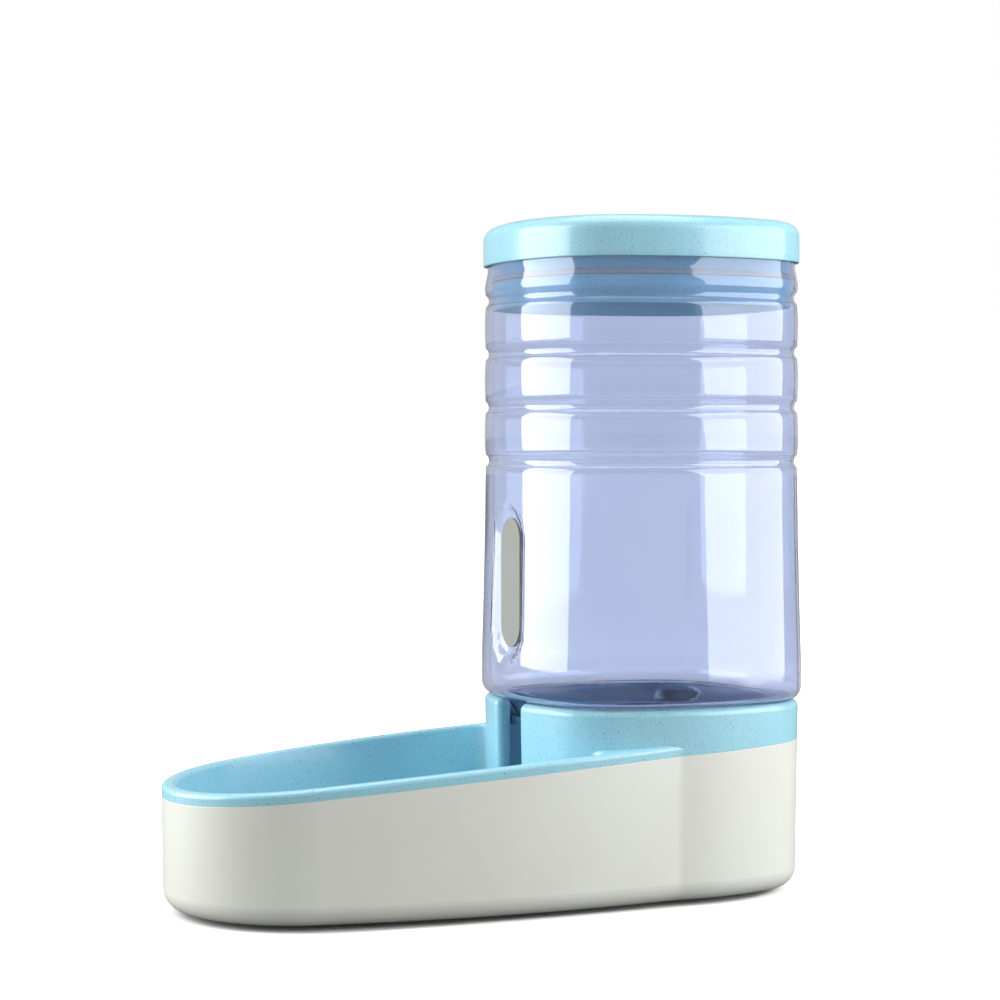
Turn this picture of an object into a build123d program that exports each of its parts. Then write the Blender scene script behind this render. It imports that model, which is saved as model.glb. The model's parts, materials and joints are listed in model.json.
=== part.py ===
from build123d import *
import math
import os

# Pet water dispenser, in millimetres. +Z is up and the origin is on the ground under the middle
# of its bounding box. The drinking bowl points along -Y and the bottle's well stands at +Y.
# Outlines are given at the height of the well's rim and grow or shrink by offsets from there.

# Round-square outline of the well, also followed by the bottle and its lid
well_apothem = 69.5
well_corner = 76.0
well_corner_radius = 38.0

# Bowl outline, measured from the well's axis towards the front
bowl_half_width = 72.5
bowl_widest_at = 75.0
bowl_front_radius = 62.0
bowl_reach = 233.0
crease_radius = 14.0

# Outer shell
ground_gap = 2.0
shell_wall = 2.5
shell_draft = 1.0
shell_bottom_round = 9.0
seam_edge_round = 0.3
seam_front_z = 51.2
seam_middle_z = 64.4
seam_back_z = 71.8
seam_half_span = 160.0

# Inner tray
rim_z = 89.0
band_height = 5.0
band_round = 2.0
tray_wall = 2.5
tray_floor_z = 12.0
tray_lip_depth = 5.0
tray_lip_gap = 0.4
bowl_rim_width = 7.0
bowl_wall_slope = 6.5
bowl_edge_round = 2.0
bowl_floor_round = 6.5
bowl_cusp_round = 7.0
collar_width = 7.5
collar_top_round = 3.0
collar_roof = 3.5
slot_width = 24.0
slot_edge_round = 3.0
window_width = 22.0
window_low_z = 72.0
window_high_z = 86.0
hood_height = 9.0
hood_side = 2.6
hood_proud = 0.8

# Feet
foot_radius = 8.0
foot_sunk = 0.8
foot_places = [(-34, -98), (34, -98), (-36, 112), (36, 112)]

# Bottle heights, measured from the step that stands on the rim
seat_gap = 0.1
bottle_wall = 1.2
body_grow = -0.4
mouth_grow = -1.4
foot_grow = 1.4
lid_rim_height = 203.8
bottle_mouth_height = 209.8
groove_heights = [111.2, 136.6, 162.0, 187.4]
groove_width = 6.0
groove_depth = 1.5
shoulder_drop = 8.0
profile_depth = 30.0
panel_bulge = 0.35
foot_round = 6.0
flare_height = 20.0
band_top_grow = -8.9
band_low_grow = -17.2
band_drop = 12.7
band_round_low = 2.0
cone_drop = 4.6
neck_radius = 25.4
neck_bore_radius = 22.9
collar_ring_radius = 27.2
collar_ring_height = 3.8
support_radius = 28.6
support_top_drop = 25.0
support_height = 3.4
finish_radius = 24.9
lug_grow = -9.6
lug_width = 20.0
lug_height = 9.0
lug_drop = 7.0
recess_width = 24.5
recess_height = 66.0
recess_depth = 3.8
recess_slope = 42.0
recess_middle = 55.0
plate_width = 21.0
plate_height = 60.0
plate_thickness = 1.2

# Lid
lid_grow = 0.7
lid_height = 18.7
lid_dome = 1.2
lid_round = 6.5
lid_wall = 1.7
plug_grow = -3.5
plug_wall = 1.6
plug_depth = 21.0
seal_height = 2.4
seal_grow = -2.95
seal_below_rim = 8.0

# Valve cap, with its heights measured down from the step as well
cap_top_drop = 29.6
cap_height = 32.0
cap_radius = 27.4
cap_bore_radius = 26.2
cap_flange_radius = 29.1
cap_flange_height = 3.0
cap_rib_count = 12
cap_rib_width = 3.6
cap_rib_proud = 0.9
cap_deck_height = 10.8
cap_deck_thickness = 1.8
notch_width = 12.8
notch_height = 10.0
notch_turn = -9.0
water_hole_radius = 6.0
fin_reach = 5.6
guide_radius = 7.8
guide_wall = 1.4
guide_length = 7.6
thread_pitch = 4.0
thread_turns = 2.0
cap_thread_turns = 1.5
thread_depth = 1.0
fit_gap = 0.05
cap_seal_thickness = 1.2

# Valve
valve_stroke = 4.0
tip_radius = 7.4
tip_thickness = 2.0
tip_proud = 1.8
nib_height = 0.6
stem_radius = 2.5
head_radius = 9.0
head_thickness = 1.5
spring_wire = 0.8
spring_radius = 4.6
spring_turns = 5
cage_height = 17.0
cage_radius = 12.5
post_radius = 4.0

# Places worked out from the sizes above
draft_step = math.tan(math.radians(shell_draft))
front_top_z = seam_front_z + band_height
front_reach = bowl_reach - (rim_z - front_top_z) * draft_step
well_y = (front_reach - well_apothem - foot_grow) / 2
step_z = rim_z + seat_gap
cap_top_z = step_z - cap_top_drop
cap_low_z = cap_top_z - cap_height
deck_top_z = cap_low_z + cap_deck_height + cap_deck_thickness
mouth_lip_z = deck_top_z + cap_seal_thickness + fit_gap
tip_low_z = cap_low_z - tip_proud + valve_stroke
well_center = Location((0, well_y, 0))


def well_points(grow):
    """Middle of a face, tangent point and middle of a corner, from the well's axis."""
    corner_centre = (well_corner - well_corner_radius) / math.sqrt(2)
    flat = well_apothem - well_corner_radius
    face_centre = (2 * corner_centre**2 - flat**2) / (2 * (corner_centre - flat))
    away = math.hypot(corner_centre, corner_centre - face_centre)
    radius = well_corner_radius + grow
    tangent_x = corner_centre + radius * corner_centre / away
    tangent_y = corner_centre + radius * (corner_centre - face_centre) / away
    corner = (well_corner + grow) / math.sqrt(2)
    return (0, well_apothem + grow), (tangent_x, tangent_y), (corner, corner)


def circle_points(radius):
    """The same three points on a circle, so that it can be joined to a round-square outline."""
    _, tangent, _ = well_points(0)
    turn = math.atan2(tangent[0], tangent[1])
    corner = radius / math.sqrt(2)
    return (0, radius), (radius * math.sin(turn), radius * math.cos(turn)), (corner, corner)


def eight_arcs(points):
    """Closed outline of four face arcs and four corner arcs about the Z axis."""
    middle, tangent, corner = points
    mirrored = (-tangent[0], tangent[1])
    swapped = (tangent[1], tangent[0])
    face_arc = ThreePointArc(mirrored, middle, tangent)
    corner_arc = ThreePointArc(tangent, corner, swapped)
    arcs = []
    for quarter in range(4):
        turn = Rot(0, 0, -90 * quarter)
        arcs += [turn * face_arc, turn * corner_arc]
    return arcs


def well_outline(grow):
    return well_center * make_face(eight_arcs(well_points(grow)))


def bowl_outline(grow):
    """Egg-shaped bowl outline, closed by a straight line through the well's axis."""
    run = bowl_reach - bowl_front_radius - bowl_widest_at
    square = bowl_half_width**2 + run**2 - bowl_front_radius**2
    side_radius = square / (2 * (bowl_half_width - bowl_front_radius))
    away = side_radius - bowl_front_radius
    side_x = bowl_half_width - side_radius
    tangent_x = side_x + (side_radius + grow) * -side_x / away
    tangent_s = bowl_widest_at + (side_radius + grow) * run / away
    end_x = side_x + math.sqrt((side_radius + grow) ** 2 - bowl_widest_at**2)
    right_side = ThreePointArc((end_x, 0), (bowl_half_width + grow, -bowl_widest_at), (tangent_x, -tangent_s))
    front = ThreePointArc((tangent_x, -tangent_s), (0, -bowl_reach - grow), (-tangent_x, -tangent_s))
    left_side = mirror(right_side, Plane.YZ)
    back = Line((-end_x, 0), (end_x, 0))
    return well_center * make_face([right_side, front, left_side, back])


def base_outline(grow):
    """Whole base outline: the bowl joined to the well, with a soft crease on each side."""
    joined = well_outline(grow) + bowl_outline(grow)
    creases = [v for v in joined.vertices() if abs(v.X) > 50 and abs(v.Y - well_y + 25) < 14]
    return fillet(creases, crease_radius - grow)


def flared(outline_of, low_z, high_z, grow=0.0, slope=shell_draft):
    """Prism from low_z to high_z that widens upwards and has its named offset at the rim."""
    low_grow = grow - (rim_z - low_z) * math.tan(math.radians(slope))
    return Pos(0, 0, low_z) * extrude(outline_of(low_grow), high_z - low_z, taper=-slope)


def below_seam(rise=0.0):
    """Everything under the gently arched seam surface, raised by rise."""
    front = (-seam_half_span, seam_front_z + rise)
    middle = (0, seam_middle_z + rise)
    back = (seam_half_span, seam_back_z + rise)
    arch = ThreePointArc(front, middle, back)
    under = Polyline(back, (seam_half_span, -20), (-seam_half_span, -20), front)
    return extrude(Plane.YZ * make_face([arch, under]), 100, both=True)


def slab(outline, low_z, high_z):
    return Pos(0, 0, low_z) * extrude(outline, high_z - low_z)


def disc(radius, low_z, high_z):
    """Upright cylinder on the well's axis."""
    return slab(well_center * Circle(radius), low_z, high_z)


def tube(radius, bore, low_z, high_z):
    return disc(radius, low_z, high_z) - disc(bore, low_z, high_z)


def lowest_face(solid):
    return solid.faces().sort_by(Axis.Z)[0]


def highest_face(solid):
    return solid.faces().sort_by(Axis.Z)[-1]


def outer_shell():
    body = flared(base_outline, ground_gap, rim_z)
    body = fillet(lowest_face(body).edges(), shell_bottom_round)
    inside = flared(base_outline, ground_gap + shell_wall, rim_z + 1, -shell_wall)
    inside = fillet(lowest_face(inside).edges(), shell_bottom_round - shell_wall)
    body = (body - inside) & below_seam()
    body = fillet(highest_face(body).outer_wire().edges(), seam_edge_round)
    for x, y in foot_places:
        body -= Pos(x, y, ground_gap) * Cylinder(foot_radius, 2 * foot_sunk)
    return body


def foot(place):
    x, y = place
    height = ground_gap + foot_sunk
    pad = Pos(x, y, height / 2) * Cylinder(foot_radius - fit_gap, height)
    return chamfer(lowest_face(pad).edges(), 0.5)


def bowl_prism(grow, low_z):
    """Prism of the bowl outline that widens upwards at the slope of the bowl's wall."""
    slope = math.tan(math.radians(bowl_wall_slope))
    low_grow = grow - (front_top_z - tray_floor_z) * slope
    return Pos(0, 0, low_z) * extrude(bowl_outline(low_grow), 80, taper=-bowl_wall_slope)


def bowl_space():
    """The water space of the bowl, which wraps round the front of the well's collar."""
    space = bowl_prism(-bowl_rim_width, tray_floor_z) - flared(well_outline, 0, rim_z + 20)
    cusps = [e for e in space.edges() if e.geom_type == GeomType.BSPLINE and e.center().Y > 20]
    space = fillet(cusps, bowl_cusp_round)
    return fillet(lowest_face(space).edges(), bowl_floor_round)


def rim_band(space):
    """Rim band that covers the shell's top edge, rounded on both sides."""
    band = flared(base_outline, ground_gap, rim_z) & below_seam(band_height)
    band = fillet(highest_face(band).edges(), band_round) - below_seam() - space
    top = max(band.faces(), key=lambda face: face.area if face.normal_at().Z > 0.9 else 0)
    band = fillet(top.inner_wires()[0].edges(), bowl_edge_round)
    return band - well_space() - slot_block(slot_width + 4 * slot_edge_round)


def well_space():
    return flared(well_outline, tray_floor_z, rim_z + 1, -collar_width, 0.5)


def slot_block(width):
    """Block through the collar's front wall, from the tray's floor to above the rim."""
    height = rim_z + 10 - tray_floor_z
    return Pos(0, well_y - well_apothem + 4, tray_floor_z + height / 2) * Box(width, 36, height)


def collar_ring():
    """Full-height collar wall with its slot, the jambs and all top edges rounded."""
    ring = flared(well_outline, tray_floor_z - tray_wall, rim_z) - well_space() - slot_block(slot_width)
    jambs = [e for e in ring.edges() if e.length > 60 and abs(abs(e.center().X) - slot_width / 2) < 0.1]
    ring = fillet(jambs, slot_edge_round)
    return fillet(highest_face(ring).edges(), collar_top_round)


def window_block(quarter, width, low_z, high_z, depth):
    """Block through the inner wall at one corner of the well."""
    middle = well_corner - collar_width + tray_wall / 2
    block = Pos(middle, 0, (low_z + high_z) / 2) * Box(depth, width, high_z - low_z)
    return well_center * (Rot(0, 0, 45 + 90 * quarter) * block)


def inner_tray():
    low_z = tray_floor_z - tray_wall
    roof_z = rim_z - collar_roof
    space = bowl_space()
    prism = flared(well_outline, low_z, rim_z)
    tub = bowl_prism(tray_wall - bowl_rim_width, low_z)
    ring = collar_ring()
    inner_wall = flared(well_outline, low_z, roof_z, tray_wall - collar_width, 0.5)
    wide_slot = slot_block(slot_width + 4 * slot_edge_round)
    bowl_wall = (tub - space - prism - slot_block(slot_width + 2 * slot_edge_round)) & below_seam(1)
    tray = rim_band(space) + bowl_wall
    tray += ring - below_seam()
    tray += ring & tub
    tray += inner_wall - well_space() - wide_slot

    # The collar is double-walled and open from below, except beside the slot
    hollow = flared(well_outline, 0, roof_z, -tray_wall)
    hollow -= flared(well_outline, -5, rim_z, tray_wall - collar_width, 0.5)
    jamb_width = slot_width + 2 * slot_edge_round + 2 * tray_wall
    hollow -= Pos(0, well_y - well_apothem, rim_z / 2) * Box(jamb_width, 40, 2 * rim_z)
    tray -= hollow

    # Lip that hangs down inside the shell's top edge round the bowl
    lip_gap = shell_wall + tray_lip_gap
    lip = flared(base_outline, 30, rim_z, -lip_gap) & below_seam(1)
    lip = lip - below_seam(-tray_lip_depth) - flared(base_outline, 20, rim_z + 1, -lip_gap - 2)
    tray += lip - flared(well_outline, 10, rim_z + 5)

    # Raised hoods round the upper half of the four windows, then the windows
    hood_ring = flared(well_outline, 60, rim_z - collar_top_round, 0.5 - collar_width, 0.5)
    hood_ring -= flared(well_outline, 50, rim_z, -collar_width - hood_proud, 0.5)
    for quarter in range(4):
        hood_low = window_high_z - hood_height
        hood = window_block(quarter, window_width + 2 * hood_side, hood_low, roof_z + 0.4, 16)
        tray += hood & hood_ring
    for quarter in range(4):
        tray -= window_block(quarter, window_width, window_low_z, window_high_z - 1, 7)

    # Post that lifts the valve, stiffened by a cross
    post_top = tip_low_z - nib_height - fit_gap
    post = disc(post_radius, low_z, post_top)
    post = chamfer(highest_face(post).edges(), 0.6)
    for turn in (0, 90):
        fin = Pos(0, 0, tray_floor_z + 5) * Box(20, 2, 12)
        post += well_center * (Rot(0, 0, turn) * fin)
    return tray + post


def wall_profile():
    """Half section of the bottle's outside, from its mouth to the cone, filled towards its axis."""
    half = groove_width / 2
    top = bottle_mouth_height
    shoulder = lid_rim_height - shoulder_drop
    edges = [Line((mouth_grow, top), (mouth_grow, lid_rim_height - 3))]
    edges.append(Line((mouth_grow, lid_rim_height - 3), (body_grow, shoulder)))
    above = shoulder
    for height in reversed(groove_heights):
        bulge = (body_grow + panel_bulge, (above + height + half) / 2)
        edges.append(ThreePointArc((body_grow, above), bulge, (body_grow, height + half)))
        bottom = (body_grow - groove_depth, height)
        edges.append(ThreePointArc((body_grow, height + half), bottom, (body_grow, height - half)))
        above = height - half
    flare_middle = (body_grow + 0.35 * (foot_grow - body_grow), (above + flare_height) / 2)
    edges.append(ThreePointArc((body_grow, above), flare_middle, (foot_grow, flare_height)))
    edges.append(Line((foot_grow, flare_height), (foot_grow, foot_round)))
    edges.append(RadiusArc((foot_grow, foot_round), (foot_grow - foot_round, 0), foot_round))
    rest = Polyline(
        (foot_grow - foot_round, 0),
        (band_top_grow, 0),
        (band_low_grow, -band_drop),
        (-profile_depth, -band_drop),
        (-profile_depth, top),
        (mouth_grow, top),
    )
    profile = make_face(edges + [rest])
    return fillet([v for v in profile.vertices() if abs(v.X - band_low_grow) < 0.1], band_round_low)


def swept(profile):
    """Sweep a section, drawn as offset and height, round the well's outline."""
    path = Wire(eight_arcs(well_points(0)))
    start = path @ 0
    outward = (path % 0).cross(Vector(0, 0, 1))
    if outward.dot(Vector(start.X, start.Y, 0)) < 0:
        outward = -outward
    section = Plane(origin=start, x_dir=outward, z_dir=outward.cross(Vector(0, 0, 1)))
    ring = sweep(section * profile, path, transition=Transition.RIGHT)
    return Pos(0, well_y, step_z) * ring


def cone(grow, radius, top_z):
    top = make_face(eight_arcs(well_points(grow)))
    low = make_face(eight_arcs(circle_points(radius)))
    return well_center * loft([Pos(0, 0, top_z) * top, Pos(0, 0, top_z - cone_drop) * low], ruled=True)


def stadium_block(extra, floor_y, reach, slope):
    """Block of the label recess, which widens from its floor towards -Y."""
    outline = SlotOverall(recess_height + 2 * extra, recess_width + 2 * extra, rotation=90)
    middle_z = step_z + recess_middle
    plane = Plane(origin=(0, floor_y, middle_z), x_dir=(1, 0, 0), z_dir=(0, -1, 0))
    return extrude(plane * outline, reach, taper=-slope)


def lug_block(quarter, grow, shrink):
    """Oval pad that stands out of the band at one corner, curved like the well's outline."""
    start = well_corner + band_low_grow - 6
    outline = SlotOverall(lug_width - 2 * shrink, lug_height - 2 * shrink)
    plane = Plane(origin=(start, 0, step_z - lug_drop), x_dir=(0, 1, 0), z_dir=(1, 0, 0))
    block = Rot(0, 0, 45 + 90 * quarter) * extrude(plane * outline, 30)
    block &= slab(make_face(eight_arcs(well_points(grow))), step_z - 2 * lug_drop, step_z)
    outer = max(block.faces(), key=lambda face: math.hypot(face.center().X, face.center().Y))
    return well_center * fillet(outer.edges(), 1.0)


def thread_ridge(base_radius, top_radius, low_z, turns):
    """Helical ridge between two radii, wide at its base and narrow at its top."""
    wide = 0.25 * thread_pitch
    narrow = 0.12 * thread_pitch
    height = turns * thread_pitch
    section = make_face(
        Polyline(
            (base_radius, -wide),
            (top_radius, -narrow),
            (top_radius, narrow),
            (base_radius, wide),
            (base_radius, -wide),
        )
    )
    path = Helix(thread_pitch, height, base_radius)
    ridge = sweep(Plane.XZ * section, path, is_frenet=True)
    return Pos(0, well_y, low_z) * ridge


def bottle():
    wall = bottle_wall
    low_z = step_z - band_drop
    profile = wall_profile()
    support_z = step_z - support_top_drop
    ring_low_z = low_z - cone_drop - collar_ring_height
    outside = swept(profile) + cone(band_low_grow - 1.5, neck_radius, low_z)
    outside += disc(neck_radius, support_z - 1, low_z - 1)
    ring = disc(collar_ring_radius, ring_low_z, ring_low_z + collar_ring_height)
    support = disc(support_radius, support_z - support_height, support_z)
    outside += chamfer(ring.edges(), 0.4) + fillet(support.edges(), 0.8)
    outside += disc(finish_radius, mouth_lip_z, support_z)
    thread_low_z = mouth_lip_z + 0.75 * thread_pitch
    top_radius = finish_radius + thread_depth
    outside += thread_ridge(finish_radius - 0.2, top_radius, thread_low_z, thread_turns)

    inside_face = offset(profile, -wall, kind=Kind.INTERSECTION)
    core_height = bottle_mouth_height + band_drop
    core_middle = (bottle_mouth_height - band_drop) / 2 + wall
    inside_face += Pos(-profile_depth, core_middle) * Rectangle(8, core_height)
    mouth_width = profile_depth + mouth_grow - wall
    mouth = Pos(mouth_grow - wall - mouth_width / 2, bottle_mouth_height) * Rectangle(mouth_width, 4)
    inside = swept(inside_face + mouth)
    inside += cone(band_low_grow - 1.5, neck_bore_radius, low_z + wall)
    bore = disc(neck_bore_radius, mouth_lip_z - 1, low_z)

    for quarter in range(4):
        outside += lug_block(quarter, lug_grow, 0)
        inside += lug_block(quarter, lug_grow - wall, wall)
    floor_y = well_y - well_apothem - 0.5 + recess_depth
    outside -= stadium_block(0, floor_y, 8, recess_slope)
    inside -= stadium_block(wall, floor_y + wall, 8, recess_slope)
    return outside - inside - bore


def label_plate():
    floor_y = well_y - well_apothem - 0.5 + recess_depth
    outline = SlotOverall(plate_height, plate_width, rotation=90)
    plane = Plane(origin=(0, floor_y, step_z + recess_middle), x_dir=(1, 0, 0), z_dir=(0, -1, 0))
    plate = extrude(plane * outline, plate_thickness)
    return fillet(plate.faces().sort_by(Axis.Y)[0].edges(), 0.4)


def bottle_lid():
    low_z = step_z + lid_rim_height
    top_z = low_z + lid_height
    dome_radius = (well_corner**2 + lid_dome**2) / (2 * lid_dome)
    lid = slab(well_outline(lid_grow), low_z, top_z + lid_dome)
    lid &= Pos(0, well_y, top_z + lid_dome - dome_radius) * Sphere(dome_radius)
    lid = fillet(highest_face(lid).edges(), lid_round)
    lid = fillet(lowest_face(lid).edges(), 0.5)
    groove_top = step_z + bottle_mouth_height + 0.3
    groove = slab(well_outline(lid_grow - lid_wall), low_z - 1, groove_top)
    lid -= groove
    plug = slab(well_outline(plug_grow), low_z - plug_depth, groove_top)
    plug = fillet(lowest_face(plug).edges(), 0.6)
    plug_space = slab(well_outline(plug_grow - plug_wall), low_z - plug_depth - 1, top_z - lid_wall)
    lid = lid + plug - plug_space
    seal_low = low_z - seal_below_rim
    seat = slab(well_outline(1), seal_low, seal_low + seal_height)
    return lid - (seat - slab(well_outline(plug_grow - 0.8), seal_low, seal_low + seal_height))


def lid_seal():
    seal_low = step_z + lid_rim_height - seal_below_rim
    ring = slab(well_outline(seal_grow), seal_low, seal_low + seal_height)
    ring = fillet(ring.faces().filter_by(Axis.Z).edges(), 0.6)
    return ring - slab(well_outline(plug_grow - 0.8 + fit_gap), seal_low - 1, seal_low + seal_height + 1)


def valve_cap():
    deck_low_z = cap_low_z + cap_deck_height
    cap = disc(cap_radius, cap_low_z, cap_top_z)
    for rib in range(cap_rib_count):
        turn = notch_turn + 360 * rib / cap_rib_count
        low = cap_low_z + (notch_height + 2 if rib == 0 else 1)
        height = cap_top_z - cap_flange_height - low
        block = Pos(cap_radius, 0, low + height / 2) * Box(2 * cap_rib_proud, cap_rib_width, height)
        block = fillet(block.edges().filter_by(Axis.Z).sort_by(Axis.X)[-2:], 0.6)
        cap += well_center * (Rot(0, 0, turn) * block)
    flange = disc(cap_flange_radius, cap_top_z - cap_flange_height, cap_top_z)
    cap += fillet(flange.edges(), 0.8)
    cap -= disc(cap_bore_radius, cap_low_z - 1, deck_low_z)
    cap -= disc(cap_bore_radius, deck_top_z, cap_top_z + 1)
    cap -= disc(water_hole_radius, cap_low_z, cap_top_z)
    guide = tube(guide_radius + guide_wall, guide_radius, deck_low_z - guide_length, deck_low_z)
    for turn in (0, 90):
        port = Pos(0, 0, deck_low_z - 3) * Box(60, 5, 4.5)
        guide -= well_center * (Rot(0, 0, turn + notch_turn) * port)
    cap += guide
    notch = Pos(cap_radius, 0, cap_low_z) * Box(8, notch_width, 2 * notch_height)
    cap -= well_center * (Rot(0, 0, notch_turn) * notch)
    thread_low_z = mouth_lip_z + 1.25 * thread_pitch
    top_radius = cap_bore_radius - thread_depth + 0.1
    return cap + thread_ridge(cap_bore_radius + 0.2, top_radius, thread_low_z, cap_thread_turns)


def cap_seal():
    return tube(cap_bore_radius - 0.5, neck_bore_radius - 0.3, deck_top_z + fit_gap, mouth_lip_z - fit_gap)


def spring_cage():
    low_z = deck_top_z
    top_z = low_z + cage_height
    cage = tube(cage_radius + 1.5, cage_radius - 2, low_z, low_z + 1.5)
    for leg in range(4):
        post = Pos(cage_radius - 1.4, 0, (low_z + top_z + 1) / 2) * Box(2, 3, cage_height + 1)
        cage += well_center * (Rot(0, 0, 45 + 90 * leg) * post)
    return cage + tube(cage_radius, 3, top_z, top_z + 1.5)


def valve_plunger():
    seal_thickness = cap_seal_thickness
    fin_top = cap_low_z + cap_deck_height - 0.3
    head_low = deck_top_z + valve_stroke + seal_thickness + fit_gap
    tip = disc(tip_radius, tip_low_z, tip_low_z + tip_thickness)
    tip = fillet(lowest_face(tip).edges(), 0.4)
    tip += disc(1.5, tip_low_z - nib_height, tip_low_z)
    for turn in (0, 90):
        height = fin_top - tip_low_z - tip_thickness
        fin = Pos(0, 0, fin_top - height / 2) * Box(2 * fin_reach, 1.6, height)
        tip += well_center * (Rot(0, 0, turn) * fin)
    stem = disc(stem_radius, tip_low_z + 1, head_low + 1)
    head = disc(head_radius, head_low, head_low + head_thickness)
    boss = disc(2.4, head_low, head_low + head_thickness + 3)
    return tip + stem + head + chamfer(highest_face(boss).edges(), 0.4)


def plunger_seal():
    low_z = deck_top_z + valve_stroke + fit_gap
    return tube(head_radius, stem_radius, low_z, low_z + cap_seal_thickness)


def valve_spring():
    """Round-wire helix between the plunger's head and the cage."""
    head_top = deck_top_z + valve_stroke + cap_seal_thickness + fit_gap + head_thickness
    low_z = head_top + spring_wire / 2
    height = deck_top_z + cage_height - spring_wire / 2 - low_z
    pitch = height / spring_turns
    path = Helix(pitch, height, spring_radius)
    start = path @ 0
    section = Plane(origin=start, z_dir=path % 0) * Circle(spring_wire / 2)
    points = [path @ (i / 400) for i in range(401)]
    per_turn = 400 // spring_turns
    least = min(
        (a - b).length
        for i, a in enumerate(points)
        for b in points[i + per_turn // 2 :]
    )
    print("least gap of the spring to itself:", round(least - spring_wire, 2), "mm")
    return Pos(0, well_y, low_z) * sweep(section, path, is_frenet=True)


def main():
    os.makedirs("parts", exist_ok=True)
    nodes = {
        "outer_shell": outer_shell(),
        "inner_tray": inner_tray(),
        "bottle": bottle(),
        "label_plate": label_plate(),
        "bottle_lid": bottle_lid(),
        "lid_seal": lid_seal(),
        "valve_cap": valve_cap(),
        "cap_seal": cap_seal(),
        "spring_cage": spring_cage(),
        "valve_plunger": valve_plunger(),
        "plunger_seal": plunger_seal(),
        "valve_spring": valve_spring(),
    }
    for number, place in enumerate(foot_places, start=1):
        nodes[f"foot_{number}"] = foot(place)
    for name, solid in nodes.items():
        export_step(solid, f"parts/{name}.step")


if __name__ == "__main__":
    main()
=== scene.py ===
import bpy
import bmesh
import json
import math
from mathutils import Euler, Matrix, Vector


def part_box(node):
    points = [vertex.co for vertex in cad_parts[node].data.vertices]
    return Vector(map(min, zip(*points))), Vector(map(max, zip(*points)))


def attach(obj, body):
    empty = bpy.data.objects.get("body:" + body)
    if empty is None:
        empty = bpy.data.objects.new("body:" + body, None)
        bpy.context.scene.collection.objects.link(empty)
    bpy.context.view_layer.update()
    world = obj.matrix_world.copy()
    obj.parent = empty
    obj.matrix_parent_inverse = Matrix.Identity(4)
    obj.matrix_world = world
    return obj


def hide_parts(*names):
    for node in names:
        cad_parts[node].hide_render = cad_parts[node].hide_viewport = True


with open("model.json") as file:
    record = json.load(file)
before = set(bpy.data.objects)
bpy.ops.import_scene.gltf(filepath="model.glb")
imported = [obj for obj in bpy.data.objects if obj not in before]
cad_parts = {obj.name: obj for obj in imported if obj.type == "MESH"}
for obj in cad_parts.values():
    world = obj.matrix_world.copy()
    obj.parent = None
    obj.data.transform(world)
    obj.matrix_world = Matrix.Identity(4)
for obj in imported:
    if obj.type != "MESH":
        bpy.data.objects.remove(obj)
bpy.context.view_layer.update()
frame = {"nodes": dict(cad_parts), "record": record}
nodes = frame["nodes"]
wellLow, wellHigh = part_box("bottle")
axisY = (wellLow.y + wellHigh.y) / 2
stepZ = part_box("inner_tray")[1].z + 0.0001  # height of the bottle's seat on the collar
print("frame loaded:", len(nodes), "nodes")


def shade(red, green, blue):
    # screen colour from 0 to 255 to a linear colour
    parts = []
    for value in (red, green, blue):
        value = value / 255
        parts.append(value / 12.92 if value <= 0.04045 else ((value + 0.055) / 1.055) ** 2.4)
    return (*parts, 1)


def newGroup(name, inputs, outputs):
    group = bpy.data.node_groups.new(name, "ShaderNodeTree")
    for label, kind, value in inputs:
        socket = group.interface.new_socket(name=label, in_out="INPUT", socket_type="NodeSocket" + kind)
        if value is not None:
            socket.default_value = value
    for label, kind in outputs:
        group.interface.new_socket(name=label, in_out="OUTPUT", socket_type="NodeSocket" + kind)
    return group, group.nodes.new("NodeGroupInput"), group.nodes.new("NodeGroupOutput")


def addNode(tree, kind, settings=None, **values):
    node = tree.nodes.new("ShaderNode" + kind)
    for key, value in (settings or {}).items():
        setattr(node, key, value)
    for key, value in values.items():
        socket = node.inputs[int(key[2:]) if key.startswith("in") else key.replace("_", " ")]
        if isinstance(value, bpy.types.NodeSocket):
            tree.links.new(value, socket)
        else:
            socket.default_value = value
    return node


def math2(tree, operation, first, second, clamp=False):
    node = addNode(tree, "Math", {"operation": operation, "use_clamp": clamp}, in0=first, in1=second)
    return node.outputs[0]


def scaled(tree, value, factor, start):
    # value times factor, from a start
    return addNode(tree, "Math", {"operation": "MULTIPLY_ADD"}, in0=value, in1=factor, in2=start).outputs[0]


def useGroup(tree, group, **inputs):
    # a shared effect, with each input linked to a socket or set to a value
    node = tree.nodes.new("ShaderNodeGroup")
    node.node_tree = group
    for name, value in inputs.items():
        socket = node.inputs[name.replace("_", " ")]
        if isinstance(value, bpy.types.NodeSocket):
            tree.links.new(value, socket)
        else:
            socket.default_value = value
    return node


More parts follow.
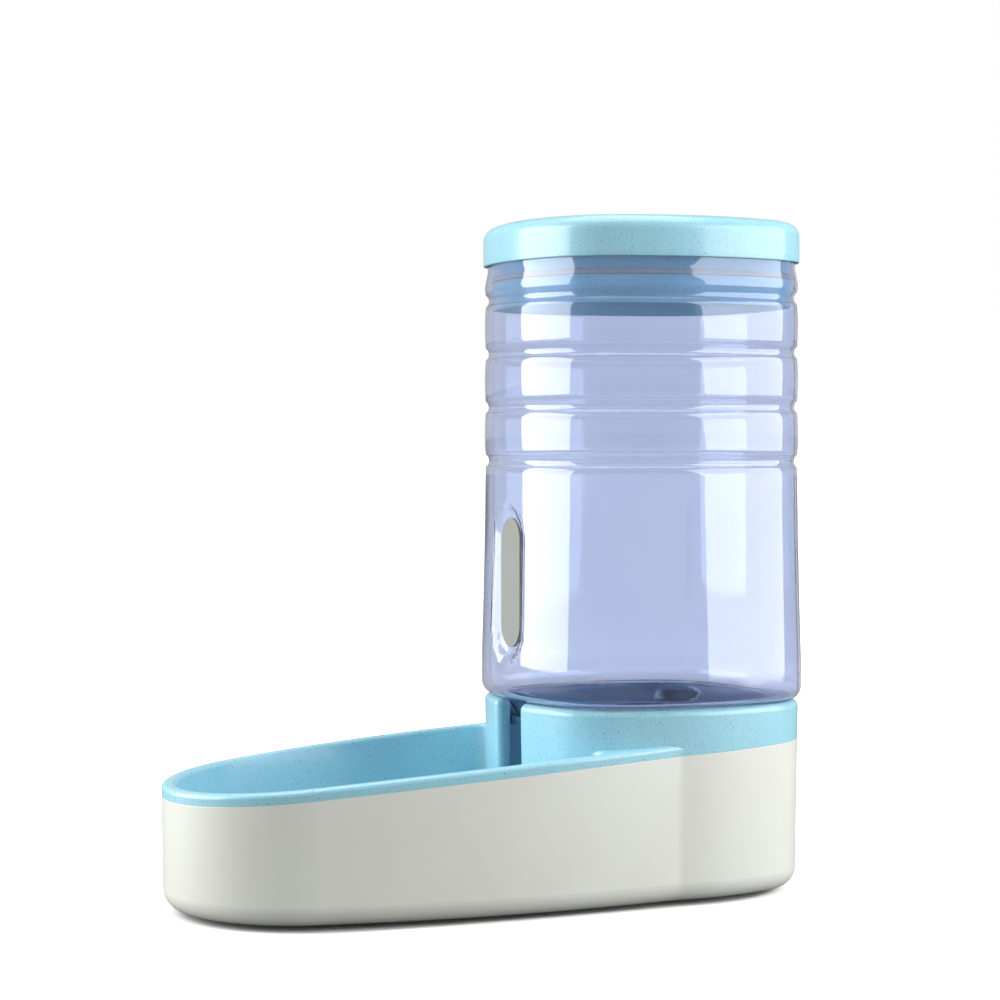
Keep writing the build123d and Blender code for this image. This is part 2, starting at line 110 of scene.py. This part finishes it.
def speckGroup():
    # dark flecks of several sizes that are mixed into the moulded plastic
    group, start, end = newGroup(
        "moulded flecks",
        [
            ("Vector", "Vector", None),
            ("Base", "Color", (0.5, 0.7, 0.85, 1)),
            ("Fleck", "Color", (0.1, 0.15, 0.2, 1)),
            ("Cell", "Float", 0.002),
            ("Size", "Float", 0.0003),
            ("Share", "Float", 0.4),
        ],
        [("Color", "Color"), ("Mask", "Float")],
    )
    given = start.outputs
    wobble = addNode(group, "TexNoise", Vector=given["Vector"], Scale=900.0, Detail=1.0)
    shift = addNode(group, "VectorMath", {"operation": "SCALE"}, in0=wobble.outputs["Color"], Scale=0.0006)
    moved = addNode(group, "VectorMath", {"operation": "ADD"}, in0=given["Vector"], in1=shift.outputs[0])
    scale = math2(group, "DIVIDE", 1.0, given["Cell"])
    cells = addNode(group, "TexVoronoi", Vector=moved.outputs[0], Scale=scale)
    split = addNode(group, "SeparateColor", in0=cells.outputs["Color"])
    chosen = math2(group, "LESS_THAN", split.outputs[0], given["Share"])
    distance = math2(group, "MULTIPLY", cells.outputs["Distance"], given["Cell"])
    grown = scaled(group, split.outputs[1], 0.9, 0.45)
    radius = math2(group, "MULTIPLY", given["Size"], grown)
    inner = math2(group, "MULTIPLY", radius, 0.5)
    spot = addNode(group, "MapRange", Value=distance)
    group.links.new(radius, spot.inputs["From Min"])
    group.links.new(inner, spot.inputs["From Max"])
    mask = math2(group, "MULTIPLY", spot.outputs[0], chosen, True)
    strength = scaled(group, split.outputs[2], 0.5, 0.5)
    mask = math2(group, "MULTIPLY", mask, strength, True)
    mixed = addNode(group, "Mix", {"data_type": "RGBA"})
    group.links.new(mask, mixed.inputs["Factor"])
    group.links.new(given["Base"], mixed.inputs[6])
    group.links.new(given["Fleck"], mixed.inputs[7])
    group.links.new(mixed.outputs[2], end.inputs["Color"])
    group.links.new(mask, end.inputs["Mask"])
    return group


def mouldGroup():
    # faint waviness and fine grain of a moulded surface, with a matching change of gloss
    group, start, end = newGroup(
        "moulded surface",
        [
            ("Vector", "Vector", None),
            ("Roughness", "Float", 0.3),
            ("Gloss Change", "Float", 0.05),
            ("Wave Height", "Float", 0.00003),
            ("Grain Height", "Float", 0.000002),
        ],
        [("Roughness", "Float"), ("Height", "Float")],
    )
    given = start.outputs
    wave = addNode(group, "TexNoise", Vector=given["Vector"], Scale=28.0, Detail=1.0)
    grain = addNode(group, "TexNoise", Vector=given["Vector"], Scale=1500.0, Detail=2.0)
    smudge = addNode(group, "TexNoise", Vector=given["Vector"], Scale=60.0, Detail=4.0, Roughness=0.6)
    high = math2(group, "MULTIPLY", wave.outputs[0], given["Wave Height"])
    fine = math2(group, "MULTIPLY", grain.outputs[0], given["Grain Height"])
    total = math2(group, "ADD", high, fine)
    centred = math2(group, "SUBTRACT", smudge.outputs[0], 0.5)
    change = math2(group, "MULTIPLY", centred, given["Gloss Change"])
    rough = math2(group, "ADD", given["Roughness"], change, True)
    group.links.new(rough, end.inputs["Roughness"])
    group.links.new(total, end.inputs["Height"])
    return group


def toneGroup():
    # slow change of tone over a piece, between two colours
    group, start, end = newGroup(
        "slow tone",
        [
            ("Vector", "Vector", None),
            ("First", "Color", (0.8, 0.8, 0.8, 1)),
            ("Second", "Color", (0.75, 0.75, 0.75, 1)),
            ("Scale", "Float", 14.0),
        ],
        [("Color", "Color")],
    )
    given = start.outputs
    cloud = addNode(group, "TexNoise", Vector=given["Vector"], Scale=given["Scale"], Detail=3.0)
    spread = addNode(group, "MapRange", Value=cloud.outputs[0], From_Min=0.35, From_Max=0.65)
    mixed = addNode(group, "Mix", {"data_type": "RGBA"})
    group.links.new(spread.outputs[0], mixed.inputs["Factor"])
    group.links.new(given["First"], mixed.inputs[6])
    group.links.new(given["Second"], mixed.inputs[7])
    group.links.new(mixed.outputs[2], end.inputs["Color"])
    return group


def paintedDepthGroup():
    # painted deeper tint and painted glow below a height, standing in for the thicker wall and the light that
    # travels along it
    group, start, end = newGroup(
        "deeper below",
        [
            ("Vector", "Vector", None),
            ("Color", "Color", (0.7, 0.8, 0.9, 1)),
            ("Deep", "Color", (0.3, 0.4, 0.9, 1)),
            ("Height", "Float", 0.0),
            ("Depth", "Float", 0.02),
            ("Glow", "Color", (0, 0, 0, 1)),
        ],
        [("Color", "Color"), ("Glow", "Color")],
    )
    given = start.outputs
    place = addNode(group, "SeparateXYZ", in0=given["Vector"])
    drop = math2(group, "SUBTRACT", given["Height"], place.outputs[2])
    share = math2(group, "DIVIDE", drop, given["Depth"], True)
    mixed = addNode(group, "Mix", {"data_type": "RGBA"})
    group.links.new(share, mixed.inputs["Factor"])
    group.links.new(given["Color"], mixed.inputs[6])
    group.links.new(given["Deep"], mixed.inputs[7])
    group.links.new(mixed.outputs[2], end.inputs["Color"])
    # painted glow, which rises below the height
    paintedGlowing = addNode(group, "VectorMath", {"operation": "SCALE"}, in0=given["Glow"], Scale=share)
    group.links.new(paintedGlowing.outputs[0], end.inputs["Glow"])
    return group


def partingGroup():
    # fine raised line left by the two halves of the bottle's mould, down two opposite corners
    group, start, end = newGroup(
        "parting line",
        [
            ("Vector", "Vector", None),
            ("Height", "Float", 0.0),
            ("Middle", "Float", 0.0),
            ("Width", "Float", 0.0004),
            ("Rise", "Float", 0.00012),
        ],
        [("Height", "Float")],
    )
    given = start.outputs
    place = addNode(group, "SeparateXYZ", in0=given["Vector"])
    along = math2(group, "SUBTRACT", place.outputs[1], given["Middle"])
    across = math2(group, "SUBTRACT", place.outputs[0], along)
    away = math2(group, "DIVIDE", math2(group, "ABSOLUTE", across, 0.0), given["Width"])
    smooth = {"interpolation_type": "SMOOTHSTEP"}
    ridge = addNode(group, "MapRange", smooth, Value=away, To_Min=1.0, To_Max=0.0)
    raised = math2(group, "MULTIPLY", ridge.outputs[0], given["Rise"])
    group.links.new(math2(group, "ADD", given["Height"], raised), end.inputs["Height"])
    return group


flecks = speckGroup()
mould = mouldGroup()
tone = toneGroup()
deeper = paintedDepthGroup()
parting = partingGroup()
print("shared effects built")


def newFinish(name, look):
    # a moulded finish: slow tone, optional flecks, waviness and grain
    finish = bpy.data.materials.new(name)
    finish.use_nodes = True
    tree = finish.node_tree
    shader = tree.nodes["Principled BSDF"]
    place = tree.nodes.new("ShaderNodeTexCoord").outputs["Object"]
    toneNode = useGroup(tree, tone, Vector=place, First=look["color"], Second=look["second"])
    color = toneNode.outputs["Color"]
    for size, cell, share in look.get("flecks", []):
        sizes = {"Cell": cell, "Size": size, "Share": share}
        fleckNode = useGroup(tree, flecks, Vector=place, Base=color, Fleck=look["fleckColor"], **sizes)
        color = fleckNode.outputs["Color"]
    # painted deeper tint and painted glow below a height
    if "deep" in look:
        reach = {"Height": look["deepBelow"], "Depth": look["deepWithin"], "Glow": look["deepGlow"]}
        deepNode = useGroup(tree, deeper, Vector=place, Color=color, Deep=look["deep"], **reach)
        tree.links.new(deepNode.outputs["Glow"], shader.inputs["Emission Color"])
        color = deepNode.outputs["Color"]
    tree.links.new(color, shader.inputs["Base Color"])
    mouldNode = useGroup(
        tree,
        mould,
        Vector=place,
        Roughness=look["roughness"],
        Gloss_Change=look.get("glossChange", 0.05),
        Wave_Height=look.get("wave", 0.00003),
        Grain_Height=look.get("grain", 0.000002),
    )
    tree.links.new(mouldNode.outputs["Roughness"], shader.inputs["Roughness"])
    bump = tree.nodes.new("ShaderNodeBump")
    bump.inputs["Distance"].default_value = 1.0
    bump.inputs["Strength"].default_value = 1.0
    height = mouldNode.outputs["Height"]
    if "parting" in look:
        width, rise = look["parting"]
        lineNode = useGroup(tree, parting, Vector=place, Height=height, Middle=axisY, Width=width, Rise=rise)
        height = lineNode.outputs["Height"]
    tree.links.new(height, bump.inputs["Height"])
    tree.links.new(bump.outputs["Normal"], shader.inputs["Normal"])
    for socket, value in look.get("shader", {}).items():
        shader.inputs[socket].default_value = value
    return finish


finishes = {
    "shell_ivory": {
        "color": shade(228, 231, 223),
        "second": shade(224, 226, 217),
        "roughness": 0.32,
        "wave": 0.00004,
        "shader": {"Coat Weight": 0.35, "Coat Roughness": 0.06},
    },
    "tray_blue": {
        "color": shade(158, 212, 228),
        "second": shade(151, 208, 225),
        "fleckColor": shade(72, 104, 118),
        "flecks": [(0.00027, 0.0014, 0.5), (0.00018, 0.0007, 0.6)],
        "roughness": 0.30,
        "shader": {"Coat Weight": 0.35, "Coat Roughness": 0.07},
    },
    "plate_grey": {
        "color": shade(152, 155, 149),
        "second": shade(145, 148, 142),
        "roughness": 0.42,
    },
    "cap_white": {
        "color": shade(228, 232, 222),
        "second": shade(222, 226, 215),
        "roughness": 0.38,
        "shader": {"Coat Weight": 0.1},
    },
    "valve_white": {
        "color": shade(215, 219, 208),
        "second": shade(208, 212, 200),
        "roughness": 0.4,
    },
    "seal_rubber": {
        "color": shade(188, 190, 188),
        "second": shade(178, 180, 178),
        "roughness": 0.55,
    },
    "foot_rubber": {
        "color": shade(58, 52, 50),
        "second": shade(48, 43, 41),
        "roughness": 0.75,
        "grain": 0.00001,
    },
    "spring_steel": {
        "color": shade(190, 190, 188),
        "second": shade(175, 175, 172),
        "roughness": 0.25,
        "shader": {"Metallic": 1.0},
    },
}
made = {name: newFinish(name.replace("_", " "), look) for name, look in finishes.items()}
made["lid_blue"] = made["tray_blue"]

clearPlastic = {
    "color": shade(212, 219, 237),
    "second": shade(208, 216, 236),
    "deep": shade(188, 199, 246),
    "deepBelow": stepZ - 0.0115,
    "deepWithin": 0.009,
    "deepGlow": shade(30, 62, 214),  # painted glow on the neck's rings, standing in for light that the wall leads down to them
    "roughness": 0.03,
    "glossChange": 0.02,
    "wave": 0.00012,
    "parting": (0.0005, 0.00012),
    # the emission strength below is the strength of the painted glow on the neck's rings
    "shader": {"Transmission Weight": 1.0, "IOR": 1.47, "Emission Strength": 0.07},
}
made["clear_plastic"] = newFinish("clear plastic", clearPlastic)
slotOf = {part["node"]: part["material_slot"] for part in frame["record"]["subparts"]}
for name, node in nodes.items():
    for holder in node.material_slots:
        holder.material = made[slotOf[name]]
print("finishes built:", len(made))


outline = {"apothem": 69.5, "corner": 76.0, "cornerRadius": 38.0}  # millimetres


def wellRadius(angle, grow):
    # distance from the axis to the round-square outline that is grown by an offset, in millimetres
    turn = abs((angle + math.pi / 4) % (math.pi / 2) - math.pi / 4)
    centre = (outline["corner"] - outline["cornerRadius"]) / math.sqrt(2)
    flat = outline["apothem"] - outline["cornerRadius"]
    back = (2 * centre**2 - flat**2) / (2 * (centre - flat))
    away = math.hypot(centre, centre - back)
    small = outline["cornerRadius"] + grow
    tangentX = centre + small * centre / away
    tangentY = centre + small * (centre - back) / away
    if turn < math.atan2(tangentX, tangentY):
        along = back * math.cos(turn)
        large = outline["apothem"] - back + grow
        return along + math.sqrt(large**2 - back**2 + along**2)
    along = centre * (math.sin(turn) + math.cos(turn))
    return along + math.sqrt(small**2 - 2 * centre**2 + along**2)


def square(grow, height, share=1.0):
    return (lambda angle: share * wellRadius(angle, grow), height)


def circle(radius, height):
    return (lambda angle: radius, height)


def turned(count, focus=0.0):
    # angles round the axis, closer together on the side that faces -Y when focus is over 0
    angles = []
    for step in range(count):
        away = -math.pi + 2 * math.pi * step / count
        angles.append(-math.pi / 2 + away * (1 - focus * math.exp(-((away / 0.45) ** 2))))
    return angles


def loopChain(name, angles, levels, mould=None, closeEnds=(False, False)):
    # one loop of points is extruded from level to level, then each new loop is put on its outline
    shape = bmesh.new()
    column = shape.verts.layers.int.new("column")
    bmesh.ops.create_circle(shape, segments=len(angles), radius=1.0)
    shape.verts.ensure_lookup_table()
    for number, point in enumerate(shape.verts):
        point[column] = number
    loops = []
    edges = list(shape.edges)
    points = list(shape.verts)
    for number, (radiusAt, height) in enumerate(levels):
        if number:
            grown = bmesh.ops.extrude_edge_only(shape, edges=edges)["geom"]
            points = [item for item in grown if isinstance(item, bmesh.types.BMVert)]
            edges = [item for item in grown if isinstance(item, bmesh.types.BMEdge)]
            edges = [edge for edge in edges if all(end in set(points) for end in edge.verts)]
        for point in points:
            angle = angles[point[column]]
            radius = radiusAt(angle)
            if mould:
                x, y, z = mould(angle, radius, height)
            else:
                x, y, z = radius * math.cos(angle), radius * math.sin(angle), height
            point.co = (x / 1000, y / 1000 + axisY, z / 1000 + stepZ)
        loops.append(points)
    for wanted, loop in zip(closeEnds, (loops[0], loops[-1])):
        if wanted:
            middle = sum((point.co for point in loop), Vector()) / len(loop)
            bmesh.ops.pointmerge(shape, verts=loop, merge_co=middle)
    bmesh.ops.recalc_face_normals(shape, faces=shape.faces)
    mesh = bpy.data.meshes.new(name)
    shape.to_mesh(mesh)
    shape.free()
    return mesh


def newPiece(name, mesh, finish, body, *stoodFor):
    piece = bpy.data.objects.new(name, mesh)
    bpy.context.scene.collection.objects.link(piece)
    mesh.materials.append(finish)
    mesh.shade_smooth()
    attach(piece, body)
    if stoodFor:
        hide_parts(*stoodFor)
    return piece


# heights are in millimetres above the step that stands on the collar
bottleLook = {
    "columns": 208,
    "focus": 0.5,
    "wall": 1.2,
    "body": -0.4,
    "mouth": -1.4,
    "foot": 1.4,
    "rim": 203.8,
    "top": 209.8,
    "grooves": [187.4, 162.0, 136.6, 111.2],
    "grooveHalf": 3.0,
    "grooveDepth": 1.5,
    "bulge": 0.35,
    "flare": 20.0,
    "bow": 0.6,
    "footRound": 6.0,
    "bandDrops": [1.2, 2.0, 2.8, 3.6, 4.6, 6, 7.5, 9, 10, 10.8, 11.5],
    # radius and height of the points down the neck
    "upperRing": [(25.6, -16.6), (26.6, -17.25), (27.1, -17.5), (27.2, -17.9), (27.2, -20.6)],
    "underRing": [(27.0, -21.0), (26.4, -21.15), (25.6, -21.3), (25.4, -21.7)],
    "supportTop": [(25.4, -24.4), (25.7, -24.9), (27.8, -25.0), (28.4, -25.2), (28.6, -25.8)],
    "supportUnder": [(28.6, -27.6), (28.4, -28.2), (27.8, -28.4), (25.3, -28.5), (24.9, -28.9)],
    "neckEnd": [(24.9, -47.2), (24.6, -47.6)],
    "recess": {"wide": 24.5, "tall": 66.0, "middle": 55.0, "floor": 66.2, "slope": 42.0, "soft": 0.7},
    "lug": {"wide": 20.0, "tall": 9.0, "drop": 7.0, "grow": -9.6, "edge": 1.8},
    "thread": {"low": -46.0, "high": -32.0, "start": -46.5, "pitch": 4.0, "fade": 2.0, "last": -36.5},
}


def bottleLevels(look):
    body, half, depth = look["body"], look["grooveHalf"], look["grooveDepth"]
    top = look["top"]
    levels = [square(look["mouth"], height) for height in (top, top - 0.15, top - 1, look["rim"], 200.8)]
    levels += [square(-1.15, 199.8), square(-0.65, 197.2)]
    above = look["rim"] - 8
    # bulging panels with a ring groove under each
    for groove in look["grooves"]:
        low = groove + half
        for step in range(8):
            share = step / 7
            bulge = look["bulge"] * (1 - (2 * share - 1) ** 2)
            levels.append(square(body + bulge, above + (low - above) * share))
        radius = (half**2 + depth**2) / (2 * depth)
        for step in range(1, 9):
            height = half - 2 * half * step / 9
            sink = math.sqrt(radius**2 - height**2) - (radius - depth)
            levels.append(square(body - sink, groove + height))
        above = groove - half
    # smooth wall that widens to the foot, with rows close together at the recess
    flareHeight, foot = look["flare"], look["foot"]
    rows = [above + (94 - above) * step / 4 for step in range(4)]
    rows += [94 - 1.6 * step for step in range(46)]
    for height in rows:
        share = (above - height) / (above - flareHeight)
        bow = look["bow"] * share * (1 - share) * (foot - body)
        levels.append(square(body + (foot - body) * share - bow, height))
    levels += [square(foot, height) for height in (20.0, 15.0, 10.5, 6.8)]
    size = look["footRound"]
    for step in range(9):
        turn = math.radians(90 * step / 8)
        levels.append(square(foot - size + size * math.cos(turn), size - size * math.sin(turn)))
    # the step that stands on the collar, the band with the lugs, and the cone
    levels += [square(-6.8, 0), square(-8.5, 0), square(-8.95, -0.3)]
    levels += [square(-8.9 - 8.3 * drop / 12.7, -drop) for drop in look["bandDrops"]]
    levels += [square(-17.0, -12.1), square(-17.6, -12.55), square(-18.7, -12.75), square(-22, -13.1)]
    for stretch in ("upperRing", "underRing", "supportTop", "supportUnder"):
        levels += [circle(radius, height) for radius, height in look[stretch]]
    threadRadius, threadTop = look["supportUnder"][-1]
    levels += [circle(threadRadius, threadTop - 0.55 * step) for step in range(1, 33)]
    levels += [circle(radius, height) for radius, height in look["neckEnd"]]
    return levels


def bottleForm(look):
    recess, lug, thread = look["recess"], look["lug"], look["thread"]
    rise = math.tan(math.radians(90 - recess["slope"]))

    def form(angle, radius, height):
        if -13 < height < -1:
            # one oval lug on each corner of the band
            turn = (angle % (math.pi / 2)) - math.pi / 4
            beside = max(abs(radius * math.sin(turn)) - (lug["wide"] - lug["tall"]) / 2, 0)
            outside = math.hypot(beside, height + lug["drop"]) - lug["tall"] / 2
            share = min(max(0.5 - outside / lug["edge"], 0), 1)
            share = share * share * (3 - 2 * share)
            radius += (max(wellRadius(angle, lug["grow"]), radius) - radius) * share
        if thread["low"] < height < thread["high"]:
            # the thread of the bottle's neck, which fades in and out
            along = (height - thread["start"]) / thread["pitch"] - (angle / (2 * math.pi))
            fadeIn = min(max((height - thread["low"]) / thread["fade"], 0), 1)
            ends = fadeIn * min(max((thread["last"] - height) / thread["fade"], 0), 1)
            radius += ends * min(max(1.6 - abs(along % 1 - 0.5) * 6.4, 0), 1)
        x, y = radius * math.cos(angle), radius * math.sin(angle)
        if y < 0 and abs(x) < 24 and 10 < height < 100:
            # the recess with its sloped sides, blended into the wall
            beyond = max(abs(height - recess["middle"]) - (recess["tall"] - recess["wide"]) / 2, 0)
            outside = max(math.hypot(x, beyond) - recess["wide"] / 2, 0)
            cut = -recess["floor"] - outside * rise
            gap = y - cut
            if gap < 6:
                y = (y + cut + math.sqrt(gap**2 + recess["soft"] ** 2)) / 2 - 0.02 * max(min(1, gap), 0)
        return x, y, height

    return form


bottleTurns = turned(bottleLook["columns"], bottleLook["focus"])
bottleMesh = loopChain("clearBottle", bottleTurns, bottleLevels(bottleLook), bottleForm(bottleLook))
bottle = newPiece("clearBottle", bottleMesh, made["clear_plastic"], "bottle", "bottle")
wall = bottle.modifiers.new("wall", "SOLIDIFY")
wall.thickness = bottleLook["wall"] / 1000
wall.offset = -1
wall.use_even_offset = True
print("bottle made:", len(bottleMesh.polygons), "faces")


# grows are from the round-square outline, and the seal's seat is its low and high edge and its grow
lidLook = {
    "plugIn": -5.1,
    "plugOut": -3.5,
    "plugLow": 182.8,
    "sealSeat": (195.8, 198.2, -4.3),
    "ceiling": 220.5,
    "grooveTop": 210.1,
    "rim": 203.8,
    "rimIn": -1.0,
    "rimOut": 0.7,
    "shoulder": 222.5,
    "round": 6.5,
    "dome": 1.2,
    "plugRound": 0.6,
    "rimRound": 0.5,
    "chamfer": 0.4,
    "fine": 0.1,
}


def rounded(grow, height, size, first, last, steps):
    # quarter round about the point that lies size in from the corner at grow and height
    turns = [math.radians(first + (last - first) * step / steps) for step in range(steps + 1)]
    return [square(grow + size * math.cos(turn), height + size * math.sin(turn)) for turn in turns]


def lidLevels(look):
    inside, outside, low = look["plugIn"], look["plugOut"], look["plugLow"]
    sealLow, sealHigh, sealIn = look["sealSeat"]
    plugRound, rimRound, chamfer, fine = look["plugRound"], look["rimRound"], look["chamfer"], look["fine"]
    # the ceiling, the plug with its seat for the seal, the rim and the domed top, from the inside out
    levels = [square(inside, look["ceiling"], share) for share in (0.02, 0.35, 0.7, 0.9)]
    levels += rounded(inside - 1, look["ceiling"] - 1, 1, 90, 0, 4)
    levels += [square(inside, 205), square(inside, low + plugRound)]
    levels += rounded(inside + plugRound, low + plugRound, plugRound, 180, 270, 4)[1:]
    levels += rounded(outside - plugRound, low + plugRound, plugRound, 270, 360, 4)
    levels += [square(outside, sealLow - fine), square(outside - fine, sealLow), square(sealIn, sealLow)]
    levels += [square(sealIn, sealHigh), square(outside - fine, sealHigh), square(outside, sealHigh + fine)]
    levels += [square(outside, look["grooveTop"] - chamfer), square(outside + chamfer, look["grooveTop"])]
    levels += [square(look["rimIn"] - chamfer, look["grooveTop"])]
    levels += [square(look["rimIn"], look["grooveTop"] - chamfer)]
    levels += [square(look["rimIn"], look["rim"] + rimRound)]
    levels += rounded(look["rimIn"] + rimRound, look["rim"] + rimRound, rimRound, 180, 270, 3)[1:]
    levels += rounded(look["rimOut"] - rimRound, look["rim"] + rimRound, rimRound, 270, 360, 4)
    top = look["shoulder"] - look["round"]
    levels += [square(look["rimOut"], look["rim"] + (top - look["rim"]) * step / 4) for step in range(1, 4)]
    levels += rounded(look["rimOut"] - look["round"], top, look["round"], 0, 90, 12)
    inner = look["rimOut"] - look["round"]
    levels += [square(inner, look["shoulder"] + 0.1, share) for share in (0.96, 0.86, 0.7, 0.5, 0.3, 0.1)]
    return levels


def lidForm(look):
    bend = (outline["corner"] ** 2 + look["dome"] ** 2) / (2 * look["dome"])

    def form(angle, radius, height):
        if height > look["shoulder"] - 0.01:
            height = look["shoulder"] + look["dome"] - bend + math.sqrt(bend**2 - radius**2)
        return radius * math.cos(angle), radius * math.sin(angle), height

    return form


lidMesh = loopChain("blueLid", turned(208), lidLevels(lidLook), lidForm(lidLook), (True, True))
newPiece("blueLid", lidMesh, made["lid_blue"], "lid", "bottle_lid")
print("lid made:", len(lidMesh.polygons), "faces")


studio = {
    "floorSize": 30.0,
    "floorSeen": shade(248, 248, 248),
    "floorBounce": shade(137, 137, 137),
    "floorGlow": (0.35, 1.0, 0.25, 1.2),  # near and far glow, and the distances between which it rises
    "paintedShadowFootprint": (0.062, 0.0816, 0.005),  # area of the painted shadow under the base: half width, half length of its straight part, soft edge
    "worldLight": 0.34,
    "glossLight": 0.4,
    "lights": [
        # angle from the camera's side, left below 0, then distance, height, width, tall, watts
        (-90, 1.0, 0.40, 1.0, 0.8, 13.5),
        (76, 1.0, 0.42, 1.0, 0.9, 12.3),
    ],
    "topLight": (1.3, 1.2, 11.0),  # height, size, watts
    "aim": (0, 0.03, 0.12),
}


def whiteSeen(tree, glossStrength, lightStrength):
    # background that is white to the camera and through the clear plastic, and dimmer in gloss and as light
    path = tree.nodes.new("ShaderNodeLightPath")
    seen = math2(tree, "MAXIMUM", path.outputs["Is Camera Ray"], path.outputs["Is Transmission Ray"])
    gloss = math2(tree, "MULTIPLY", path.outputs["Is Glossy Ray"], glossStrength)
    return math2(tree, "MAXIMUM", math2(tree, "MAXIMUM", seen, gloss), lightStrength)


world = bpy.data.worlds.new("studio")
bpy.context.scene.world = world
world.use_nodes = True
background = world.node_tree.nodes["Background"]
background.inputs["Color"].default_value = (1, 1, 1, 1)
strength = whiteSeen(world.node_tree, studio["glossLight"], studio["worldLight"])
world.node_tree.links.new(strength, background.inputs["Strength"])

floorShape = bmesh.new()
bmesh.ops.create_grid(floorShape, x_segments=1, y_segments=1, size=studio["floorSize"])
floorMesh = bpy.data.meshes.new("floor")
floorShape.to_mesh(floorMesh)
floorShape.free()
floor = bpy.data.objects.new("floor", floorMesh)
bpy.context.scene.collection.objects.link(floor)
floorFinish = bpy.data.materials.new("pale floor")
floorFinish.use_nodes = True
floorShader = floorFinish.node_tree.nodes["Principled BSDF"]
floorShader.inputs["Roughness"].default_value = 0.9
floorShader.inputs["Specular IOR Level"].default_value = 0.0
floorShader.inputs["Emission Color"].default_value = (1, 1, 1, 1)
floorTree = floorFinish.node_tree
floorPath = floorTree.nodes.new("ShaderNodeLightPath")
floorColor = addNode(floorTree, "Mix", {"data_type": "RGBA"}, Factor=floorPath.outputs["Is Camera Ray"])
floorColor.inputs[6].default_value = studio["floorBounce"]
floorColor.inputs[7].default_value = studio["floorSeen"]
floorTree.links.new(floorColor.outputs[2], floorShader.inputs["Base Color"])
floorPlace = floorTree.nodes.new("ShaderNodeTexCoord").outputs["Object"]
away = addNode(floorTree, "VectorMath", {"operation": "LENGTH"}, in0=floorPlace)
near, far, first, last = studio["floorGlow"]
rising = addNode(floorTree, "MapRange", Value=away.outputs["Value"], From_Min=first, From_Max=last)
rising.inputs["To Min"].default_value = near
rising.inputs["To Max"].default_value = far
seen = whiteSeen(floorTree, 0.0, 0.0)
glow = math2(floorTree, "MULTIPLY", seen, rising.outputs[0])
# painted shadow: the floor doesn't glow under the base, so the gap that the feet leave shows as a dark line
half, straight, soft = studio["paintedShadowFootprint"]
spot = addNode(floorTree, "SeparateXYZ", in0=floorPlace)
along = math2(floorTree, "SUBTRACT", math2(floorTree, "ABSOLUTE", spot.outputs[1], 0.0), straight)
beyond = math2(floorTree, "MAXIMUM", along, 0.0)
side = math2(floorTree, "ABSOLUTE", spot.outputs[0], 0.0)
squares = [math2(floorTree, "POWER", value, 2.0) for value in (side, beyond)]
reach = math2(floorTree, "SQRT", math2(floorTree, "ADD", *squares), 0.0)
# mask of the painted shadow, zero under the base and one outside it
paintedShadowMask = math2(floorTree, "DIVIDE", math2(floorTree, "SUBTRACT", reach, half), soft, True)
glow = math2(floorTree, "MULTIPLY", glow, paintedShadowMask)
floorTree.links.new(glow, floorShader.inputs["Emission Strength"])
floorMesh.materials.append(floorFinish)

shot = {"place": (1.1212, -0.4909, 0.213), "azimuth": 66.0, "lens": 95.3, "shiftY": -0.066}
camera = bpy.data.objects.new("camera", bpy.data.cameras.new("camera"))
bpy.context.scene.collection.objects.link(camera)
camera.location = shot["place"]
camera.rotation_euler = Euler((math.radians(90), 0, math.radians(shot["azimuth"])))
camera.data.lens = shot["lens"]
camera.data.shift_y = shot["shiftY"]
camera.data.clip_end = 100
bpy.context.scene.camera = camera

target = Vector(studio["aim"])
turn = math.radians(shot["azimuth"])
forward = Vector((-math.sin(turn), math.cos(turn), 0))
for number, (angle, distance, height, width, tall, watts) in enumerate(studio["lights"]):
    lamp = bpy.data.objects.new(f"softbox {number + 1}", bpy.data.lights.new(f"softbox {number + 1}", "AREA"))
    lamp.data.shape = "RECTANGLE"
    lamp.data.size = width
    lamp.data.size_y = tall
    lamp.data.energy = watts
    away = Matrix.Rotation(math.radians(angle), 3, "Z") @ -forward
    lamp.location = target + away * distance + Vector((0, 0, height - target.z))
    lamp.rotation_euler = (target - lamp.location).to_track_quat("-Z", "Y").to_euler()
    bpy.context.scene.collection.objects.link(lamp)
height, size, watts = studio["topLight"]
top = bpy.data.objects.new("top softbox", bpy.data.lights.new("top softbox", "AREA"))
top.data.size = size
top.data.energy = watts
top.location = (0, 0, height)
bpy.context.scene.collection.objects.link(top)

bpy.context.scene.view_settings.view_transform = "Standard"
print("floor, light and camera set")
